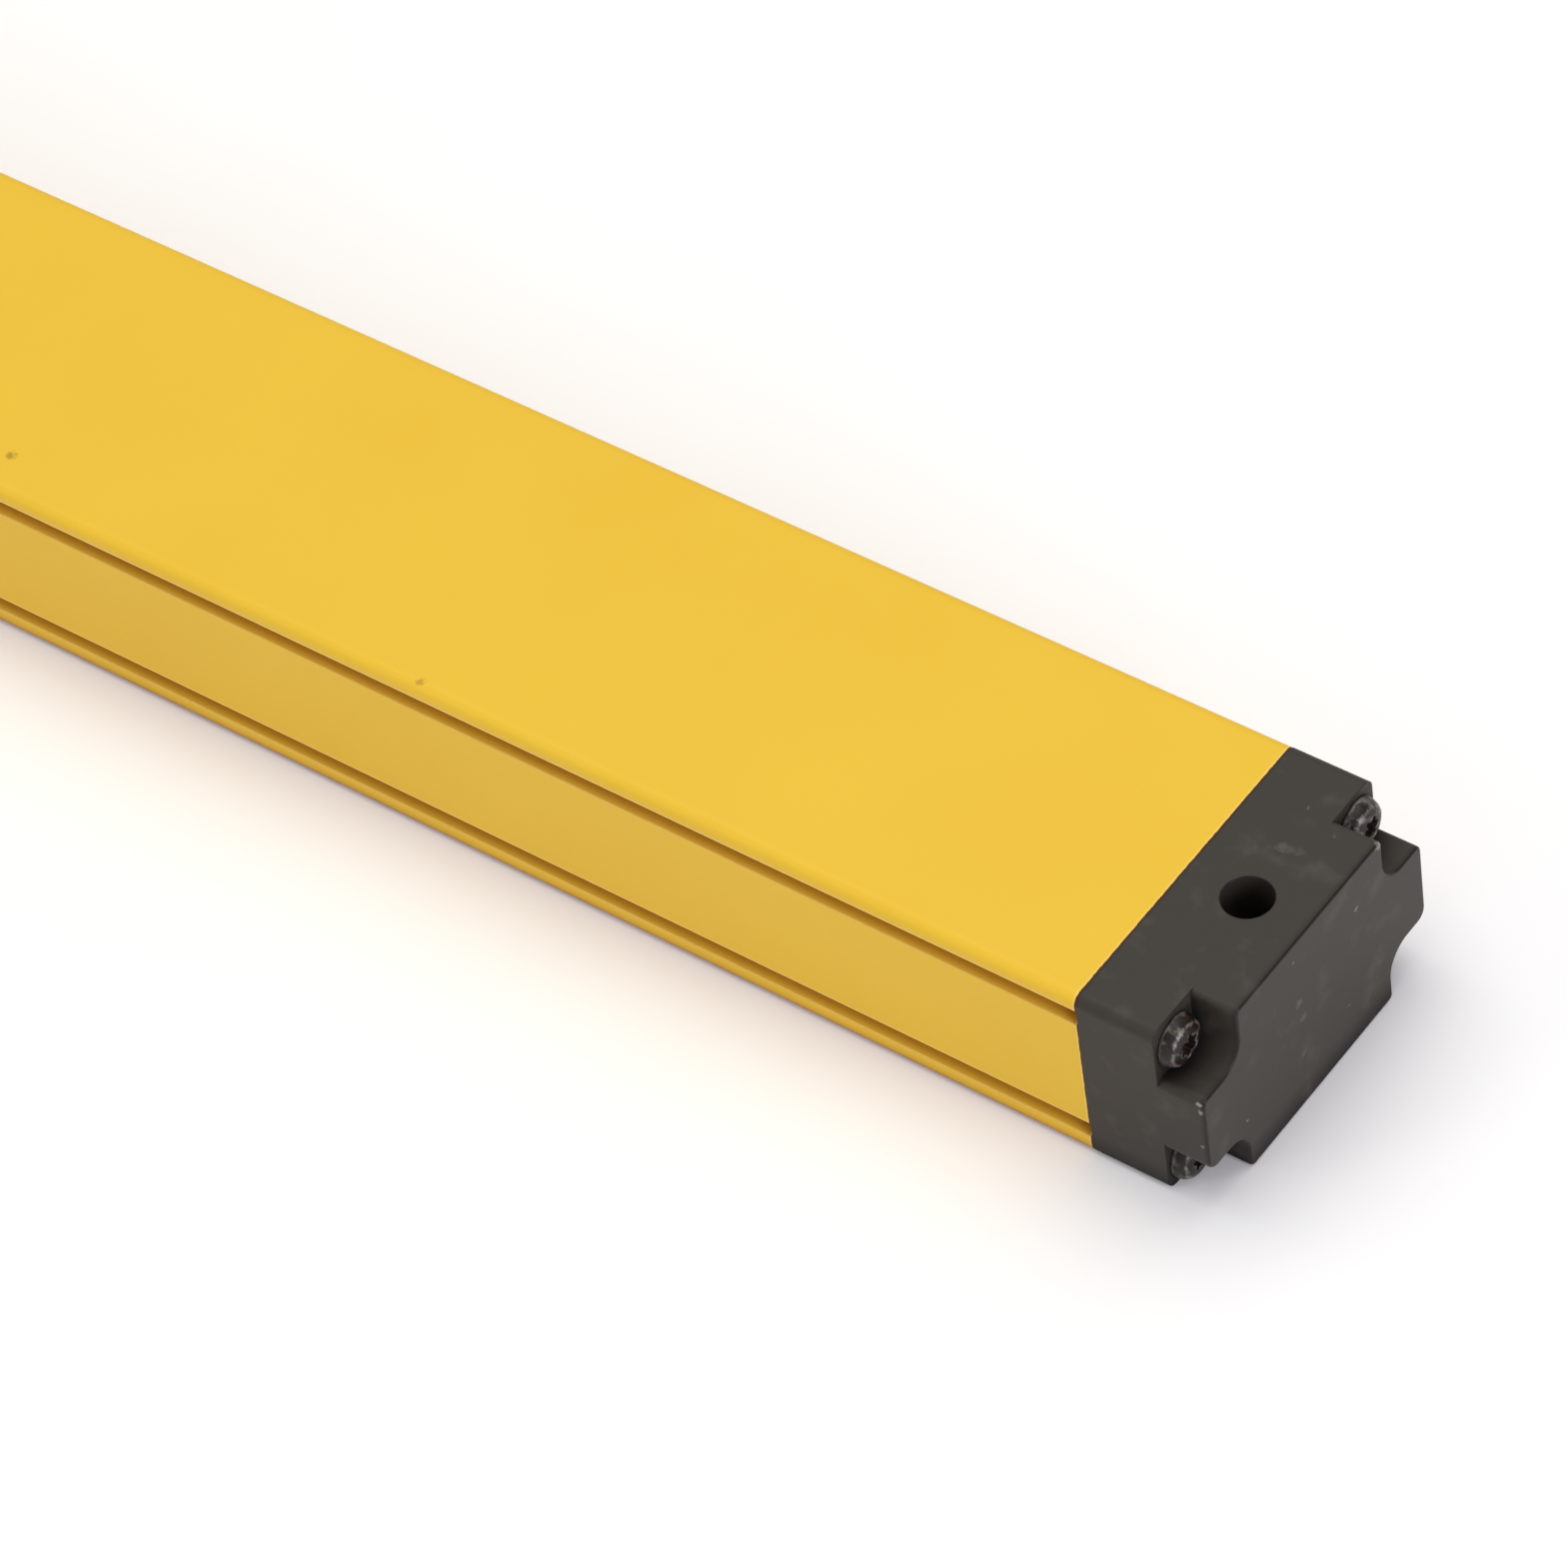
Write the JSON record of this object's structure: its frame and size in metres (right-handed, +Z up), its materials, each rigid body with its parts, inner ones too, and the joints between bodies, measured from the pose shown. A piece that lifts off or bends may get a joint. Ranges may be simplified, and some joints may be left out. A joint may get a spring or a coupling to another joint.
{
  "type": "safety light curtain",
  "caption": "Straight safety light curtain bar: yellow extruded housing with grooved sides, black screwed end caps, a front window over beam optics and a round plug connector.",
  "frame": {"origin": "centre of the lower face of the bounding box, on the surface that the bar's front lies on", "axes": "+X along the bar towards the blank end cap, +Y across the bar, +Z up from the optical front to the plain back"},
  "size_m": [0.4124, 0.0492, 0.0301],
  "materials": {
    "yellow_housing": "satin powder coat on extruded aluminium",
    "clear_window": "clear polished acrylic strip",
    "black_rubber": "matt moulded rubber",
    "black_plastic": "matt moulded glass-filled plastic, lightly marked",
    "black_screws": "black oxide steel, worn bright on the rims",
    "optic_plastic": "matt black moulded plastic",
    "lens_plastic": "clear moulded acrylic",
    "diode_resin": "dark tinted resin",
    "circuit_board": "green solder mask",
    "plain_screws": "zinc plated steel",
    "brass_fittings": "turned brass",
    "chip_plastic": "moulded epoxy",
    "capacitor_can": "drawn aluminium can",
    "lamp_resin": "pale resin",
    "nickel_shell": "nickel plated brass",
    "gold_pins": "gold flashed brass"
  },
  "bodies": {
    "root": {"housing_profile": "yellow_housing", "front_window": "clear_window", "window_seal_near": "black_rubber", "window_seal_far": "black_rubber", "end_cap_blank": "black_plastic", "end_cap_connector": "black_plastic", "gasket_blank_end": "black_rubber", "gasket_connector_end": "black_rubber", "cap_screws_blank_end": "black_screws", "cap_screws_connector_end": "black_screws", "optic_block_1": "optic_plastic", "lens_strip_1": "lens_plastic", "beam_diodes_1": "diode_resin", "optic_block_2": "optic_plastic", "lens_strip_2": "lens_plastic", "beam_diodes_2": "diode_resin", "optic_block_3": "optic_plastic", "lens_strip_3": "lens_plastic", "beam_diodes_3": "diode_resin", "optic_block_4": "optic_plastic", "lens_strip_4": "lens_plastic", "beam_diodes_4": "diode_resin", "diode_board": "circuit_board", "board_stop_pad": "black_rubber", "block_screws": "plain_screws", "control_board": "circuit_board", "board_spacers": "brass_fittings", "control_board_screws": "plain_screws", "processor": "chip_plastic", "output_drivers": "chip_plastic", "board_link_header": "chip_plastic", "capacitors": "capacitor_can", "status_lamps": "lamp_resin", "light_guide": "lens_plastic", "connector_shell": "nickel_shell", "connector_insert": "optic_plastic", "connector_pins": "gold_pins", "connector_o_ring": "black_rubber", "connector_ring_nut": "nickel_shell", "connector_board": "circuit_board", "link_block": "chip_plastic"}
  },
  "joints": []
}
